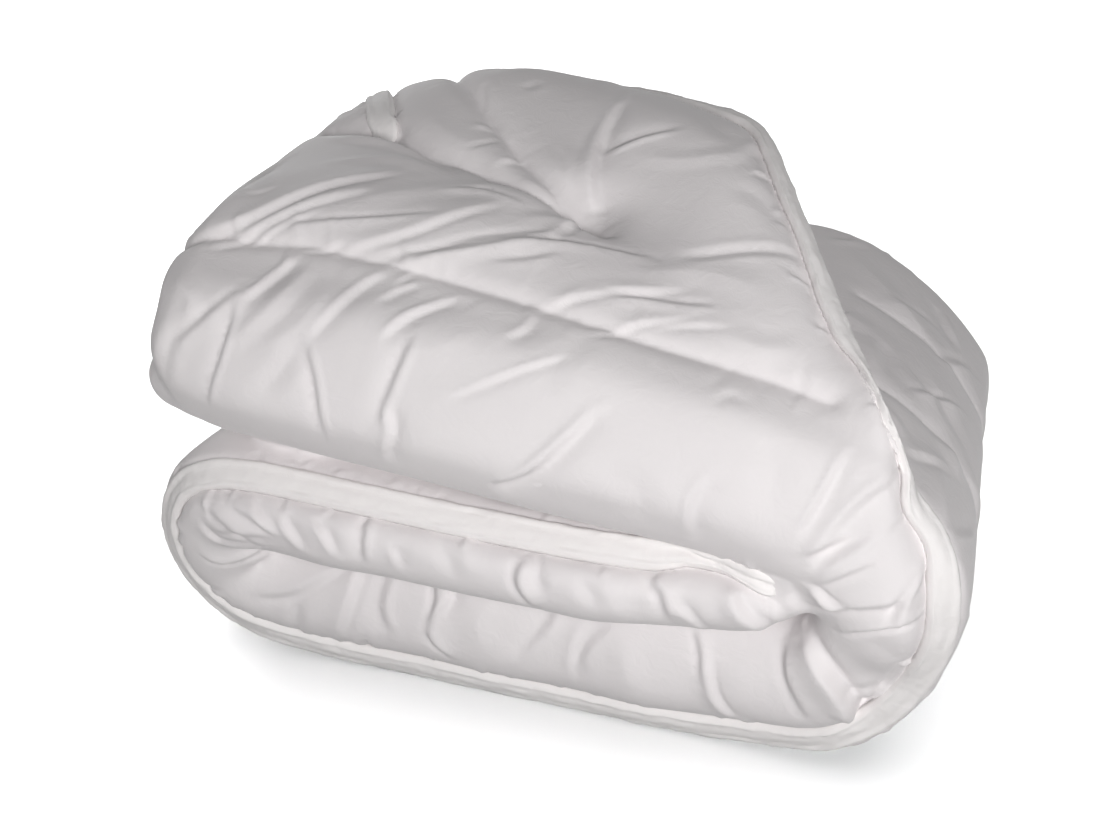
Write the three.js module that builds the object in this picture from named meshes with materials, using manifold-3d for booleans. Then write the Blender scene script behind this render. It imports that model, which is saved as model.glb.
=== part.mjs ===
// Rolled duvet: a quilted duvet folded over on itself, with its front turned back over the top.
// Millimetres, +X along the roll's front, +Y to its back, +Z up, standing on Z = 0.
import * as THREE from 'three';
import { mergeVertices } from 'three/addons/utils/BufferGeometryUtils.js';
import Module from 'manifold-3d';

const wasm = await Module();
wasm.setup();

// Colours and finish of the cloth, as in the photo
const coverCloth = { color: 0xe9e5e6, roughness: 0.8, metalness: 0 };
const tapeCloth = { color: 0xe4e0df, roughness: 0.75, metalness: 0 };

// Depth of the roll from its front edge to its back edge, and how much it narrows to the back,
// its shoulders more than its foot
const rollDepth = 415;
const backTaper = 0.15;
const shoulderTaper = 0.15;
const shoulderStartZ = 190;
const shoulderRise = 90;
const taperCentreX = 40;

// The wound layers seen from the front: the middle line of the padding and half its thickness.
// The rows run from the inner end of layer 2, round the left fold, along the floor and up the
// right side to the end of the top layer.
const windings = [
  { x: 262, z: 178, half: 20, front: 10 },
  { x: 234, z: 173, half: 31, front: 4 },
  { x: 150, z: 163, half: 36, front: 0 },
  { x: 60, z: 161, half: 38, front: -2 },
  { x: -60, z: 163, half: 39, front: 0 },
  { x: -170, z: 164, half: 40, front: 4 },
  { x: -211, z: 151, half: 46, front: 12 },
  { x: -220, z: 108, half: 53, front: 24 },
  { x: -205, z: 73, half: 59, front: 42 },
  { x: -160, z: 64, half: 65, front: 50 },
  { x: -60, z: 63, half: 68, front: 53 },
  { x: 60, z: 63, half: 68, front: 52 },
  { x: 150, z: 64, half: 68, front: 50 },
  { x: 222, z: 68, half: 67, front: 48 },
  { x: 276, z: 77, half: 62, front: 40 },
  { x: 312, z: 127, half: 54, front: 22 },
  { x: 319, z: 190, half: 55, front: 4 },
  { x: 292, z: 231, half: 47, front: 4 },
  { x: 236, z: 250, half: 43, front: 20 },
  { x: 140, z: 249, half: 44, front: 30 },
  { x: 0, z: 247, half: 44, front: 30 },
  { x: -140, z: 246, half: 43, front: 30 },
  { x: -212, z: 246, half: 34, front: 30 },
  { x: -240, z: 246, half: 14, front: 30 },
];

// Rounding of a long edge: how far a point lies before the bound edge, and its level between the
// inner cover (-1) and the outer cover (1). The inner cover swells out past the bound edge.
const edgeRounding = [
  { reach: -130, level: 1 },
  { reach: -28, level: 0.99 },
  { reach: -8, level: 0.95 },
  { reach: 1, level: 0.88 },
  { reach: 7, level: 0.64 },
  { reach: 20, level: 0.38 },
  { reach: 27, level: 0 },
  { reach: 24, level: -0.45 },
  { reach: 10, level: -0.84 },
  { reach: -36, level: -1 },
  { reach: -130, level: -1 },
];

// The turned-back top, cut across at stations along the roll. Each pair is a height over a depth:
// front bulge, first quilted seam, crown of the next channel, valley, flap ridge and bound edge.
const topSections = [
  { x: -256, frontY: 12, frontZ: 276, seamY: 54, seamZ: 308, crownY: 86, crownZ: 314,
    valleyY: 170, valleyZ: 314, ridgeY: 236, ridgeZ: 310, edgeY: 290, edgeZ: 302, under: 240 },
  { x: -243, frontY: -10, frontZ: 280, seamY: 34, seamZ: 342, crownY: 82, crownZ: 349,
    valleyY: 190, valleyZ: 350, ridgeY: 270, ridgeZ: 340, edgeY: 330, edgeZ: 324, under: 236 },
  { x: -223, frontY: -28, frontZ: 284, seamY: 28, seamZ: 354, crownY: 80, crownZ: 374,
    valleyY: 198, valleyZ: 378, ridgeY: 290, ridgeZ: 364, edgeY: 352, edgeZ: 340, under: 236 },
  { x: -200, frontY: -36, frontZ: 288, seamY: 24, seamZ: 358, crownY: 78, crownZ: 386,
    valleyY: 190, valleyZ: 394, ridgeY: 296, ridgeZ: 399, edgeY: 370, edgeZ: 366, under: 236 },
  { x: -100, frontY: -46, frontZ: 284, seamY: 20, seamZ: 360, crownY: 78, crownZ: 391,
    valleyY: 170, valleyZ: 404, ridgeY: 288, ridgeZ: 430, edgeY: 380, edgeZ: 392, under: 230 },
  { x: 0, frontY: -46, frontZ: 278, seamY: 20, seamZ: 354, crownY: 78, crownZ: 383,
    valleyY: 150, valleyZ: 397, ridgeY: 278, ridgeZ: 432, edgeY: 376, edgeZ: 402, under: 222 },
  { x: 90, frontY: -44, frontZ: 270, seamY: 20, seamZ: 344, crownY: 72, crownZ: 371,
    valleyY: 132, valleyZ: 388, ridgeY: 240, ridgeZ: 428, edgeY: 330, edgeZ: 414, under: 212 },
  { x: 150, frontY: -40, frontZ: 264, seamY: 22, seamZ: 333, crownY: 64, crownZ: 358,
    valleyY: 114, valleyZ: 385, ridgeY: 190, ridgeZ: 416, edgeY: 266, edgeZ: 420, under: 206 },
  { x: 205, frontY: -34, frontZ: 256, seamY: 24, seamZ: 322, crownY: 52, crownZ: 345,
    valleyY: 90, valleyZ: 367, ridgeY: 138, ridgeZ: 386, edgeY: 172, edgeZ: 391, under: 196 },
  { x: 262, frontY: -28, frontZ: 240, seamY: 16, seamZ: 306, crownY: 32, crownZ: 322,
    valleyY: 50, valleyZ: 335, ridgeY: 66, ridgeZ: 343, edgeY: 82, edgeZ: 347, under: 168 },
  { x: 304, frontY: -24, frontZ: 222, seamY: 0, seamZ: 290, crownY: 6, crownZ: 304,
    valleyY: 11, valleyZ: 312, ridgeY: 15, ridgeZ: 317, edgeY: 20, edgeZ: 319, under: 150 },
  { x: 328, frontY: -12, frontZ: 215, seamY: 0, seamZ: 260, crownY: 5, crownZ: 268,
    valleyY: 9, valleyZ: 273, ridgeY: 13, ridgeZ: 275, edgeY: 17, edgeZ: 274, under: 170 },
];
const bedLevel = 280;
const flapThickness = 34;
const lipDepth = 70;
const lipTurn = 26;

// The bound edge is a flat folded tape, and every piece keeps a gap from the next
const tapeWidth = 13;
const tapeThickness = 6;
const pieceGap = 0.3;

const windingSteps = 70;
const topSteps = 26;
const topRingPoints = 30;
const floorLevel = 0;

// Catmull-Rom value of one column at a share from 0 to 1 of the rows' count
function columnAt(rows, column, share) {
  const place = share * (rows.length - 1);
  const first = Math.min(Math.floor(place), rows.length - 2);
  const f = place - first;
  const pick = (index) => rows[Math.min(Math.max(index, 0), rows.length - 1)][column];
  const [a, b, c, d] = [pick(first - 1), pick(first), pick(first + 1), pick(first + 2)];
  return b + 0.5 * f * (c - a + f * (2 * a - 5 * b + 4 * c - d + f * (3 * (b - c) + d - a)));
}

// A closed solid through rings of points, each end closed on the middle of its ring
function skin(rings) {
  const count = rings[0].length;
  const points = rings.flat();
  const faces = [];
  for (let i = 0; i < rings.length - 1; i += 1) {
    for (let j = 0; j < count; j += 1) {
      const a = i * count + j;
      const b = i * count + (j + 1) % count;
      faces.push(a, b, b + count, a, b + count, a + count);
    }
  }
  const closeEnd = (ring, start, flip) => {
    const middle = ring.reduce((sum, p) => sum.add(p), new THREE.Vector3()).divideScalar(count);
    const tip = points.push(middle) - 1;
    for (let j = 0; j < count; j += 1) {
      const a = start + j;
      const b = start + (j + 1) % count;
      faces.push(...(flip ? [tip, b, a] : [tip, a, b]));
    }
  };
  closeEnd(rings[0], 0, true);
  closeEnd(rings[rings.length - 1], (rings.length - 1) * count, false);
  return toManifold(points, faces);
}

function toManifold(points, faces) {
  const geometry = new THREE.BufferGeometry();
  geometry.setAttribute('position', new THREE.Float32BufferAttribute(points.flatMap((p) => [p.x, p.y, p.z]), 3));
  geometry.setIndex(faces);
  const merged = mergeVertices(geometry, 1e-4);
  const solid = new wasm.Manifold(new wasm.Mesh({
    numProp: 3,
    vertProperties: Float32Array.from(merged.attributes.position.array),
    triVerts: Uint32Array.from(merged.index.array),
  }));
  return solid.volume() < 0 ? flipped(points, faces) : solid;
}

function flipped(points, faces) {
  const turned = [];
  for (let i = 0; i < faces.length; i += 3) {
    turned.push(faces[i], faces[i + 2], faces[i + 1]);
  }
  return toManifold(points, turned);
}

function toMesh(solid, name, finish) {
  const { vertProperties, triVerts, numProp } = solid.getMesh();
  const geometry = new THREE.BufferGeometry();
  const positions = [];
  for (let i = 0; i < vertProperties.length; i += numProp) {
    positions.push(vertProperties[i], vertProperties[i + 1], vertProperties[i + 2]);
  }
  geometry.setAttribute('position', new THREE.Float32BufferAttribute(positions, 3));
  geometry.setIndex([...triVerts]);
  geometry.computeVertexNormals();
  const mesh = new THREE.Mesh(geometry, new THREE.MeshStandardMaterial(finish));
  mesh.name = name;
  return mesh;
}

function taper(point) {
  const share = THREE.MathUtils.clamp(point.y / rollDepth, 0, 1);
  const shoulder = THREE.MathUtils.clamp((point.z - shoulderStartZ) / shoulderRise, 0, 1);
  const narrowing = (backTaper + shoulderTaper * shoulder) * share;
  point.x = taperCentreX + (point.x - taperCentreX) * (1 - narrowing);
  return point;
}

// Middle line, outward direction and half thickness of the windings at a share of their length
function windingAt(share) {
  const at = (column, s) => columnAt(windings, column, THREE.MathUtils.clamp(s, 0, 1));
  const step = 0.004;
  const run = new THREE.Vector2(
    at('x', share + step) - at('x', share - step),
    at('z', share + step) - at('z', share - step),
  ).normalize();
  return {
    x: at('x', share),
    z: at('z', share),
    half: at('half', share),
    front: at('front', share),
    outX: run.y,
    outZ: -run.x,
  };
}

// A point of the windings: level runs from the inner cover to the outer one
function windingPoint(place, y, level, swell = 0) {
  const lift = level * place.half + Math.sign(level) * swell;
  const point = new THREE.Vector3(place.x + place.outX * lift, y, place.z + place.outZ * lift);
  point.z = Math.max(point.z, floorLevel);
  return taper(point);
}

// The wound layers as one solid, swollen by a given amount where a piece must stay clear of it
function woundLayers(swell) {
  const rings = [];
  for (let i = 0; i <= windingSteps; i += 1) {
    const place = windingAt(i / windingSteps);
    const fullness = Math.min(1, place.half / 30);
    const front = edgeRounding.map(({ reach, level }) => (
      windingPoint(place, place.front - (reach > 0 ? reach * fullness + swell : reach), level, swell)));
    const back = edgeRounding.map(({ reach, level }) => (
      windingPoint(place, rollDepth + (reach > 0 ? reach * fullness + swell : reach), level, swell)));
    rings.push([...front, ...back.reverse()]);
  }
  return skin(rings);
}

// Outline of the turned-back top at one station, from under its lip round the front to the bound
// edge and back along its underside, bowed out a few millimetres between the table's points
function topOutline(share, swell) {
  const at = (column) => columnAt(topSections, column, share);
  const bedZ = Math.min(bedLevel, at('edgeZ') - flapThickness);
  const between = (from, to, part) => at(from) + (at(to) - at(from)) * part;
  const corners = [
    [at('frontY') + lipDepth, at('under') + 4],
    [at('frontY') + lipTurn - swell, at('under') - swell],
    [at('frontY') + 4 - swell, between('frontZ', 'under', 0.5)],
    [at('frontY') - swell, at('frontZ')],
    [between('frontY', 'seamY', 0.4) - swell, between('frontZ', 'seamZ', 0.667) + 4 + swell],
    [at('seamY'), at('seamZ') + swell],
    [at('crownY'), at('crownZ') + swell],
    [at('valleyY'), at('valleyZ') + swell],
    [at('ridgeY'), at('ridgeZ') + swell],
    [at('edgeY') + swell, at('edgeZ') + swell],
    [at('edgeY') - 4 + swell, at('edgeZ') - flapThickness * 0.65],
    [between('edgeY', 'ridgeY', 0.1) - lipTurn, (at('edgeZ') + bedZ) / 2 - 10],
    [between('ridgeY', 'crownY', 0.3), bedZ],
    [between('crownY', 'frontY', 0.1), bedZ - 4],
  ];
  const curve = new THREE.CatmullRomCurve3(corners.map(([y, z]) => new THREE.Vector3(0, y, z)), true);
  const x = at('x');
  return curve.getPoints(topRingPoints).slice(0, -1).map((p) => new THREE.Vector3(x, p.y, p.z));
}

function turnedBackTop(swell) {
  const rings = [];
  for (let i = 0; i <= topSteps; i += 1) {
    rings.push(topOutline(i / topSteps, swell));
  }
  return skin(rings);
}

function duvetSolid(swell) {
  return keepLargest(wasm.Manifold.union([woundLayers(swell), turnedBackTop(swell)]));
}

// A flat tape swept along points, its wide side turned to face outward
function tape(points, outward) {
  const rings = points.map((point, i) => {
    const before = points[Math.max(i - 1, 0)];
    const after = points[Math.min(i + 1, points.length - 1)];
    const run = after.clone().sub(before).normalize();
    const out = outward[i].clone().addScaledVector(run, -outward[i].dot(run)).normalize();
    const side = new THREE.Vector3().crossVectors(run, out);
    const ring = [];
    for (let k = 0; k < 8; k += 1) {
      const turn = (k + 0.5) * Math.PI / 4;
      ring.push(point.clone()
        .addScaledVector(out, Math.cos(turn) * tapeWidth / 2)
        .addScaledVector(side, Math.sin(turn) * tapeThickness / 2));
    }
    return ring;
  });
  return skin(rings);
}

// The bound edge follows the windings' edge level from the inner end to the kink at the top right
const kinkShare = 0.77;
const edgeLevel = 0.84;
const edgeStand = 3;

function windingEdge(first, last, steps, depthOf) {
  const points = [];
  for (let i = 0; i <= steps; i += 1) {
    const place = windingAt(first + (last - first) * i / steps);
    points.push(windingPoint(place, depthOf(place), edgeLevel));
  }
  return points;
}

function flapEdge() {
  const points = [];
  const steps = 26;
  for (let i = 0; i <= steps; i += 1) {
    const share = 1 - i / steps;
    const at = (column) => columnAt(topSections, column, share);
    points.push(new THREE.Vector3(at('x'), at('edgeY') + edgeStand, at('edgeZ')));
  }
  return points;
}

const body = duvetSolid(0);
const clearance = duvetSolid(pieceGap);

function keepLargest(solid) {
  return solid.decompose().reduce((best, piece) => (piece.volume() > best.volume() ? piece : best));
}

const frontOut = new THREE.Vector3(0, -1, 0);
const backOut = new THREE.Vector3(0, 1, 0);
const flapOut = new THREE.Vector3(0.6, 0.8, 0);
const frontEdge = windingEdge(0.02, kinkShare, 72, (place) => place.front - edgeStand);
const backEdge = windingEdge(0.02, 0.98, 84, () => rollDepth + edgeStand);
const topEdge = flapEdge();

function boundEdge(points, out) {
  return keepLargest(tape(points, points.map(() => out)).subtract(clearance));
}

const duvet = new THREE.Group();
duvet.add(
  toMesh(body, 'duvet', coverCloth),
  toMesh(boundEdge(frontEdge, frontOut), 'edge_binding_front', tapeCloth),
  toMesh(boundEdge(topEdge, flapOut), 'edge_binding_flap', tapeCloth),
  toMesh(boundEdge(backEdge, backOut), 'edge_binding_back', tapeCloth),
);

const box = new THREE.Box3().setFromObject(duvet);
duvet.position.set(-(box.min.x + box.max.x) / 2, -(box.min.y + box.max.y) / 2, -box.min.z);
duvet.updateMatrixWorld(true);

export default duvet;
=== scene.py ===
import math

import bmesh
import bpy
import numpy as np
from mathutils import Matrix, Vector
from mathutils.bvhtree import BVHTree


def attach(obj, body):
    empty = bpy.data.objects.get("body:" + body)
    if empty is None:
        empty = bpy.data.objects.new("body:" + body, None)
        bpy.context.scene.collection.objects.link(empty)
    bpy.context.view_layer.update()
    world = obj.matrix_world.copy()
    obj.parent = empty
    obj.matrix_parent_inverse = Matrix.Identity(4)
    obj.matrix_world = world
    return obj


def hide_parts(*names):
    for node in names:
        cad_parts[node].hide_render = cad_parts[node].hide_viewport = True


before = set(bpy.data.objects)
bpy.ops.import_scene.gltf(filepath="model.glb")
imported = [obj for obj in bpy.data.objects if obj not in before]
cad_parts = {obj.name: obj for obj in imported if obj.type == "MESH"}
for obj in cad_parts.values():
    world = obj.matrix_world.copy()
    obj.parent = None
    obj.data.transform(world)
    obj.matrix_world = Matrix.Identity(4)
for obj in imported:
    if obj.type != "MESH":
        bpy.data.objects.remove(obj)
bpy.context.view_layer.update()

# Duvet body
# A double duvet: two panels of white cotton percale with fibre filling stitched between them in
# straight channels. It is folded and rolled into three layers, and the front of the top layer is
# turned back over the roll, so that its inner cover shows on the front, the top and the flap.

MM = 0.001

# Where the frame's origin lies in the tables' own mm: the middle of the CAD part's footprint
ROLL_MIDDLE = np.array([52.2, 197.4, 0.0])
ROLL_DEPTH = 415.0

# How much the whole roll narrows towards the back, and its shoulders more, from a level in mm up
BACK_TAPER = 0.15
SHOULDER_TAPER = 0.15
SHOULDER_START = 190.0
SHOULDER_RISE = 90.0
TAPER_CENTRE_X = 40.0

# Middle line of the padding, half its thickness and the depth of its bound front edge, in mm, as
# x, z, half and front, from the inner end round the left fold, along the floor and up the right side
WINDINGS = np.array([
    (262, 178, 20, 10),
    (234, 173, 31, 4),
    (150, 163, 36, 0),
    (60, 161, 38, -2),
    (-60, 163, 39, 0),
    (-170, 164, 40, 4),
    (-211, 151, 46, 12),
    (-220, 108, 53, 24),
    (-205, 73, 59, 42),
    (-160, 64, 65, 50),
    (-60, 63, 68, 53),
    (60, 63, 68, 52),
    (150, 64, 68, 50),
    (222, 68, 67, 48),
    (276, 77, 62, 40),
    (312, 127, 54, 22),
    (319, 190, 55, 4),
    (292, 231, 47, 4),
    (236, 250, 43, 20),
    (140, 249, 44, 30),
    (0, 247, 44, 30),
    (-140, 246, 43, 30),
    (-212, 246, 34, 30),
    (-240, 246, 14, 30),
], float)

# Rounding of a long edge: reach past the bound edge in mm, and level from the inner cover (-1)
# to the outer cover (1)
ROUNDING = np.array([
    (-130, 1.0),
    (-60, 1.0),
    (-28, 0.99),
    (-8, 0.95),
    (1, 0.88),
    (5, 0.76),
    (7, 0.64),
    (14, 0.52),
    (23, 0.30),
    (27, 0.0),
    (24, -0.45),
    (10, -0.84),
    (-36, -1.0),
    (-130, -1.0),
], float)

# Turned-back top, cut across at stations along the roll, in mm: front bulge, first quilted seam,
# crown of the next channel, valley, flap ridge, bound edge and the level of its underside
TOP_COLUMNS = (
    "x", "front_y", "front_z", "seam_y", "seam_z", "crown_y", "crown_z",
    "valley_y", "valley_z", "ridge_y", "ridge_z", "edge_y", "edge_z", "under",
)
TOP_SECTIONS = np.array([
    (-256, 12, 276, 54, 308, 86, 314, 170, 314, 236, 310, 290, 302, 240),
    (-243, -10, 280, 34, 342, 82, 349, 190, 346, 270, 332, 330, 318, 236),
    (-223, -28, 284, 28, 354, 80, 374, 196, 374, 290, 352, 352, 332, 236),
    (-200, -36, 288, 24, 358, 78, 386, 190, 392, 296, 396, 370, 366, 236),
    (-100, -46, 284, 20, 360, 78, 391, 170, 404, 288, 430, 380, 392, 230),
    (0, -46, 278, 20, 354, 78, 383, 150, 397, 278, 432, 376, 402, 222),
    (90, -44, 270, 20, 344, 72, 367, 132, 379, 236, 426, 330, 411, 212),
    (150, -40, 264, 22, 333, 64, 355, 114, 379, 184, 413, 264, 418, 206),
    (205, -34, 256, 24, 322, 52, 345, 90, 367, 138, 386, 172, 391, 196),
    (262, -28, 240, 16, 306, 32, 322, 50, 335, 66, 343, 82, 347, 168),
    (304, -24, 222, 0, 290, 6, 304, 11, 312, 15, 317, 20, 319, 150),
    (328, -12, 215, 0, 260, 5, 268, 9, 273, 13, 275, 17, 274, 170),
], float)

# Hidden corners of those cuts, in mm: level of the underside, how far the bulge's underside runs
# back, where it starts behind the front, the flap's least thickness, the drop at its edge, how far
# its underside draws in and down, and the small step that rounds a corner off
BED_LEVEL = 280.0
LIP_DEPTH = 70.0
LIP_START = 26.0
FLAP_THICKNESS = 34.0
EDGE_DROP = 22.0
FLAP_DRAW_IN = 26.0
FLAP_SAG = 10.0
ROUND_STEP = 4.0


def spline(rows, share):
    """Catmull-Rom values of every column at shares from 0 to 1 of the rows' count."""
    share = np.atleast_1d(share) * (len(rows) - 1)
    first = np.clip(np.floor(share).astype(int), 0, len(rows) - 2)
    f = (share - first)[:, None]
    a, b, c, d = (rows[np.clip(first + k, 0, len(rows) - 1)] for k in (-1, 0, 1, 2))
    return b + 0.5 * f * (c - a + f * (2 * a - 5 * b + 4 * c - d + f * (3 * (b - c) + d - a)))


def even_shares(points, count):
    """Shares of a polyline's points at even steps of its length."""
    run = np.r_[0, np.cumsum(np.linalg.norm(np.diff(points, axis=0), axis=1))]
    return np.interp(np.linspace(0, run[-1], count), run, np.linspace(0, 1, len(points)))


def taper(points):
    """The roll narrows from front to back, and its shoulders more than its foot."""
    share = np.clip(points[..., 1] / ROLL_DEPTH, 0, 1)
    shoulder = np.clip((points[..., 2] - SHOULDER_START) / SHOULDER_RISE, 0, 1)
    narrowing = BACK_TAPER + SHOULDER_TAPER * shoulder
    points[..., 0] = TAPER_CENTRE_X + (points[..., 0] - TAPER_CENTRE_X) * (1 - narrowing * share)
    return points


TURN_STEP = 0.004


def winding_frames(shares):
    """Middle line, half thickness, front depth and outward direction of the windings."""
    x, z, half, front = spline(WINDINGS, shares).T
    before = spline(WINDINGS, np.clip(shares - TURN_STEP, 0, 1))[:, :2]
    after = spline(WINDINGS, np.clip(shares + TURN_STEP, 0, 1))[:, :2]
    run = after - before
    run /= np.linalg.norm(run, axis=1)[:, None]
    return x, z, half, front, run[:, 1], -run[:, 0]


def winding_points(frames, depth, level):
    """Points of the windings at a depth and a level between the covers, for every station."""
    x, z, half, _, out_x, out_z = frames
    lift = level * half
    points = np.stack([x + out_x * lift, depth + 0 * x, np.maximum(z + out_z * lift, 0)], -1)
    return taper(points)


def closed_mesh(name, lofts):
    """A mesh of closed lofts, each through rings of points with a fan over both its ends."""
    points, faces = [], []
    for rings in lofts:
        stations, count = rings.shape[:2]
        start = sum(len(p) for p in points)
        row = start + np.arange(stations - 1)[:, None] * count
        j = np.arange(count)
        k = (j + 1) % count
        corners = [row + j, row + k, row + count + k, row + count + j]
        faces += np.stack(corners, -1).reshape(-1, 4).tolist()
        low = start + stations * count
        last = low - count
        faces += [(low, start + b, start + a) for a, b in zip(j, k)]
        faces += [(low + 1, last + a, last + b) for a, b in zip(j, k)]
        points += [rings.reshape(-1, 3), rings[:1].mean(1), rings[-1:].mean(1)]
    skin = bmesh.new()
    corners = [skin.verts.new(p) for p in (np.vstack(points) - ROLL_MIDDLE) * MM]
    for face in faces:
        skin.faces.new([corners[i] for i in face])
    bmesh.ops.recalc_face_normals(skin, faces=skin.faces)
    mesh = bpy.data.meshes.new(name)
    skin.to_mesh(mesh)
    skin.free()
    piece = bpy.data.objects.new(name, mesh)
    bpy.context.scene.collection.objects.link(piece)
    return piece


# Samples of the middle line, stations and points round a long edge; mm that a level of 1 counts
# for when those points are spread; and the half thickness in mm that gets the full rounding
WINDING_SAMPLES = 900
WINDING_STATIONS = 420
ROUNDING_POINTS = 60
LEVEL_HEIGHT = 45
FULL_HALF = 30


def wound_layers():
    """Rings across the windings, rounded at the front and back edges."""
    stations = even_shares(spline(WINDINGS, np.linspace(0, 1, WINDING_SAMPLES))[:, :2], WINDING_STATIONS)
    frames = winding_frames(stations)
    half, front = frames[2], frames[3]
    fullness = np.minimum(1, half / FULL_HALF)
    side = spline(ROUNDING, even_shares(ROUNDING * (1, LEVEL_HEIGHT), ROUNDING_POINTS))
    reach = np.where(side[:, :1] > 0, side[:, :1] * fullness, side[:, :1])
    columns = [winding_points(frames, front - r, level) for r, (_, level) in zip(reach, side)]
    columns += [
        winding_points(frames, ROLL_DEPTH + r, level) for r, (_, level) in zip(reach[::-1], side[::-1])
    ]
    return np.stack(columns, 1)


TOP_STATIONS = 220
OUTLINE_POINTS = 300
OUTLINE_SAMPLES = 500


def top_outlines(shares, count):
    """Closed outlines of the turned-back top, from under its lip round to its underside."""
    rings = []
    for row in spline(TOP_SECTIONS, shares):
        at = dict(zip(TOP_COLUMNS, row))
        bed = min(BED_LEVEL, at["edge_z"] - FLAP_THICKNESS)
        draw_in = at["edge_y"] * 0.9 + at["ridge_y"] * 0.1 - FLAP_DRAW_IN
        shoulder = (at["front_z"] + 2 * at["seam_z"]) / 3 + ROUND_STEP
        corners = np.array([
            (at["front_y"] + LIP_DEPTH, at["under"] + ROUND_STEP),
            (at["front_y"] + LIP_START, at["under"]),
            (at["front_y"] + ROUND_STEP, (at["front_z"] + at["under"]) / 2),
            (at["front_y"], at["front_z"]),
            (at["front_y"] * 0.6 + at["seam_y"] * 0.4, shoulder),
            (at["seam_y"], at["seam_z"]),
            (at["crown_y"], at["crown_z"]),
            (at["valley_y"], at["valley_z"]),
            (at["ridge_y"], at["ridge_z"]),
            (at["edge_y"], at["edge_z"]),
            (at["edge_y"] - ROUND_STEP, at["edge_z"] - EDGE_DROP),
            (draw_in, (at["edge_z"] + bed) / 2 - FLAP_SAG),
            (at["ridge_y"] * 0.7 + at["crown_y"] * 0.3, bed),
            (at["crown_y"] * 0.9 + at["front_y"] * 0.1, bed - ROUND_STEP),
        ])
        loop = np.vstack([corners[-1:], corners, corners[:2]])
        inside = np.linspace(1, len(loop) - 2, OUTLINE_SAMPLES) / (len(loop) - 1)
        outline = spline(loop, inside)
        even = even_shares(outline, count + 1)[:-1] * (OUTLINE_SAMPLES - 1)
        outline = outline[even.round().astype(int)]
        rings.append(np.column_stack([np.full(count, at["x"]), outline]))
    return np.array(rings)


# Filling that closes the hidden gaps between the layers, out of sight of the open ends, in mm
CORE_X = (-150, 225)
CORE_Y = (75, 350)
CORE_Z = (60, 258)


def hidden_core():
    """A block between the layers, as rings at its left and right end."""
    corners = [(y, z) for y, z in zip(CORE_Y + CORE_Y[::-1], np.repeat(CORE_Z, 2))]
    return taper(np.array([[(x, y, z) for y, z in corners] for x in CORE_X], float))


def coordinates(piece):
    """Points of a piece in mm from the middle of the roll's front."""
    flat = np.empty(len(piece.data.vertices) * 3, np.float32)
    piece.data.vertices.foreach_get("co", flat)
    return flat.reshape(-1, 3) / MM + ROLL_MIDDLE


def normals(piece):
    """Outward directions at a piece's points."""
    flat = np.empty(len(piece.data.vertices) * 3, np.float32)
    piece.data.vertex_normals.foreach_get("vector", flat)
    return flat.reshape(-1, 3).astype(float)


def move_to(piece, points):
    """Puts a piece's points at places in mm."""
    piece.data.vertices.foreach_set("co", ((points - ROLL_MIDDLE) * MM).astype(np.float32).ravel())
    piece.data.update()


def number_pairs(items, count, name):
    """Vertex numbers of edges or faces, as rows of a fixed count."""
    flat = np.empty(len(items) * count, np.int32)
    items.foreach_get(name, flat)
    return flat.reshape(-1, count)


EVEN_WEIGHT = 0.5
LEAST_WEIGHT = 0.005


def relax(points, edges, rounds, weight=EVEN_WEIGHT):
    """Moves every point part of the way to the mean of its neighbours."""
    count = len(points)
    share = np.broadcast_to(weight, count)[:, None]
    edges = edges[(share[edges, 0] > LEAST_WEIGHT).any(1)]
    links = np.maximum(np.bincount(edges.ravel(), minlength=count), 1)[:, None]
    share = share * (np.bincount(edges.ravel(), minlength=count)[:, None] > 0)
    for _ in range(rounds):
        total = np.stack([
            np.bincount(edges[:, 0], points[edges[:, 1], k], count)
            + np.bincount(edges[:, 1], points[edges[:, 0], k], count)
            for k in range(3)
        ], -1)
        points = points + share * (total / links - points)
    return points


def skin_tree(points, faces):
    return BVHTree.FromPolygons(points.tolist(), faces.tolist())


# Side of the cubes that make one skin of the lofts, in mm, and rounds of evening out after that
VOXEL = 2.7
SKIN_ROUNDS = 12

top_rings = top_outlines(np.linspace(0, 1, TOP_STATIONS), OUTLINE_POINTS)
duvet = closed_mesh("quilted_duvet", [wound_layers(), top_rings, hidden_core()])
remesh = duvet.modifiers.new("skin", "REMESH")
remesh.mode = "VOXEL"
remesh.voxel_size = VOXEL * MM
graph = bpy.context.evaluated_depsgraph_get()
skin_mesh = bpy.data.meshes.new_from_object(duvet.evaluated_get(graph))
duvet.modifiers.clear()
duvet.data = skin_mesh

links = number_pairs(skin_mesh.edges, 2, "vertices")
faces = number_pairs(skin_mesh.polygons, 4, "vertices")
skin = relax(coordinates(duvet), links, SKIN_ROUNDS)

# Places where the layers run into each other, evened out further: x, y, z and radius in mm
JOINS = ((300, 0, 235, 60), (268, -5, 170, 30), (255, 10, 125, 30))
JOIN_ROUNDS = 60
for x, y, z, radius in JOINS:
    near = np.exp(-(((skin - (x, y, z)) / radius) ** 2).sum(1))
    skin = relax(skin, links, JOIN_ROUNDS, EVEN_WEIGHT * near)
move_to(duvet, skin)

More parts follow.
